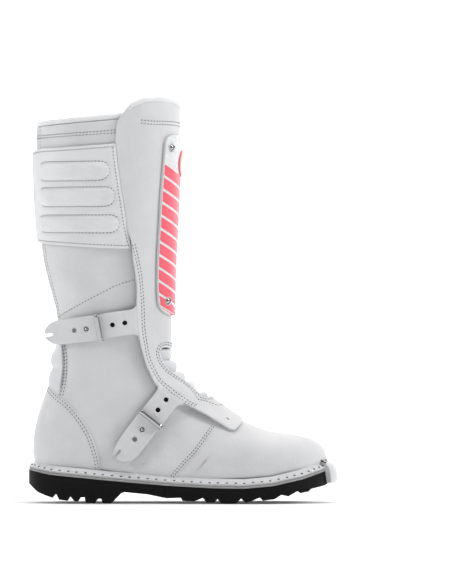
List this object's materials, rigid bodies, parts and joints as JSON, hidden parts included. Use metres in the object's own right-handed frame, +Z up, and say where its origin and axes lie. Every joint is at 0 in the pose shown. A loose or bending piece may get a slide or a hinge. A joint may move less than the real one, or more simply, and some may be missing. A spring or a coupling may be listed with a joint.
{
  "type": "motocross boot",
  "caption": "Tall white leather off-road riding boot with a lugged sole, metal toe guard, ribbed instep, hard shin plate, padded calf flap and buckled straps.",
  "frame": {"origin": "on the ground under the middle of the boot's bounding box", "axes": "+X towards the toe, +Z up, -Y towards the outer side of the right foot, which carries the buckles"},
  "size_m": [0.3085, 0.1288, 0.4075],
  "materials": {
    "rubber_black": "matt black lugged rubber",
    "midsole_white": "off-white moulded rubber",
    "welt_leather": "pale grey-white stitched leather welt",
    "board": "compressed fibre board",
    "spring_steel": "plain spring steel",
    "foam": "foam with a textile face",
    "guard_white": "white-painted metal with worn edges",
    "screw_steel": "bright steel",
    "white_leather": "smooth white full-grain leather with a soft sheen",
    "strap_leather": "white strap leather, dense and slightly glossy",
    "binding": "thin white leather binding",
    "lining": "light grey textile lining",
    "plate_white": "white moulded plastic",
    "band_red": "red printed bands",
    "badge": "round badge with red, green and white rings",
    "chrome": "polished chrome",
    "plate_steel": "nickel-plated steel",
    "touch_tape": "black touch fastener tape"
  },
  "bodies": {
    "foot": {"outsole_heel": "rubber_black", "outsole_forefoot": "rubber_black", "midsole": "midsole_white", "welt": "welt_leather", "insole_board": "board", "shank": "spring_steel", "footbed": "foam", "toe_guard": "guard_white", "toe_guard_screws": "screw_steel", "vamp": "white_leather", "toe_puff": "board", "foot_quarter": "white_leather", "heel_counter": "white_leather", "heel_stiffener": "board", "foot_lining": "lining", "instep_panel": "white_leather", "lower_catch_plate": "plate_steel", "lower_catch_rivets": "plate_steel", "ankle_bellows": "white_leather", "ankle_panel": "white_leather", "achilles_gusset": "white_leather", "ankle_sides": "white_leather", "ankle_lining": "lining"},
    "shaft": {"shaft_quarter": "white_leather", "tongue_gusset": "white_leather", "shaft_lining": "lining", "collar_binding": "binding", "shin_panel": "white_leather", "lip_binding": "binding", "shin_plate": "plate_white", "shin_stripes": "band_red", "shin_badge": "badge", "shin_screws": "chrome", "upper_catch_plate": "plate_steel", "upper_catch_rivets": "plate_steel", "calf_loop_tape": "touch_tape"},
    "calf_flap": {"calf_flap": "white_leather", "calf_pads": "white_leather", "calf_hook_tape": "touch_tape"},
    "upper_strap": {"upper_strap": "strap_leather", "upper_buckle_frame": "chrome", "upper_stud": "chrome"},
    "upper_roller": {"upper_roller": "chrome"},
    "lower_strap": {"lower_strap": "strap_leather", "lower_buckle_frame": "chrome", "lower_stud": "chrome"},
    "lower_roller": {"lower_roller": "chrome"}
  },
  "joints": [
    {"name": "ankle_flex", "type": "hinge", "parent": "foot", "child": "shaft", "pos_m": [-0.075, 0, 0.112], "axis": [0, 1, 0], "range_deg": [-10, 20], "stiffness_Nm_per_rad": 25, "deforming": ["ankle_bellows", "ankle_panel", "achilles_gusset", "ankle_sides", "ankle_lining"]},
    {"name": "calf_flap_open", "type": "hinge", "parent": "shaft", "child": "calf_flap", "pos_m": [-0.05841, -0.06006, 0.30654], "axis": [-0.1607, -0.1219, 0.9794], "range_deg": [0, 95]},
    {"name": "upper_strap_open", "type": "hinge", "parent": "shaft", "child": "upper_strap", "pos_m": [-0.04474, -0.04278, 0.18094], "axis": [-0.136, -0.1378, 0.9811], "range_deg": [0, 75]},
    {"name": "upper_roller_spin", "type": "hinge", "parent": "upper_strap", "child": "upper_roller", "pos_m": [-0.08475, -0.04797, 0.17445], "axis": [0.1403, 0.0998, -0.9851], "continuous": true},
    {"name": "lower_strap_open", "type": "hinge", "parent": "foot", "child": "lower_strap", "pos_m": [-0.01148, -0.03647, 0.10689], "axis": [-0.8176, -0.232, 0.527], "range_deg": [0, 75]},
    {"name": "lower_roller_spin", "type": "hinge", "parent": "lower_strap", "child": "lower_roller", "pos_m": [-0.02972, -0.0439, 0.0848], "axis": [0.7871, 0.0685, -0.613], "continuous": true}
  ]
}
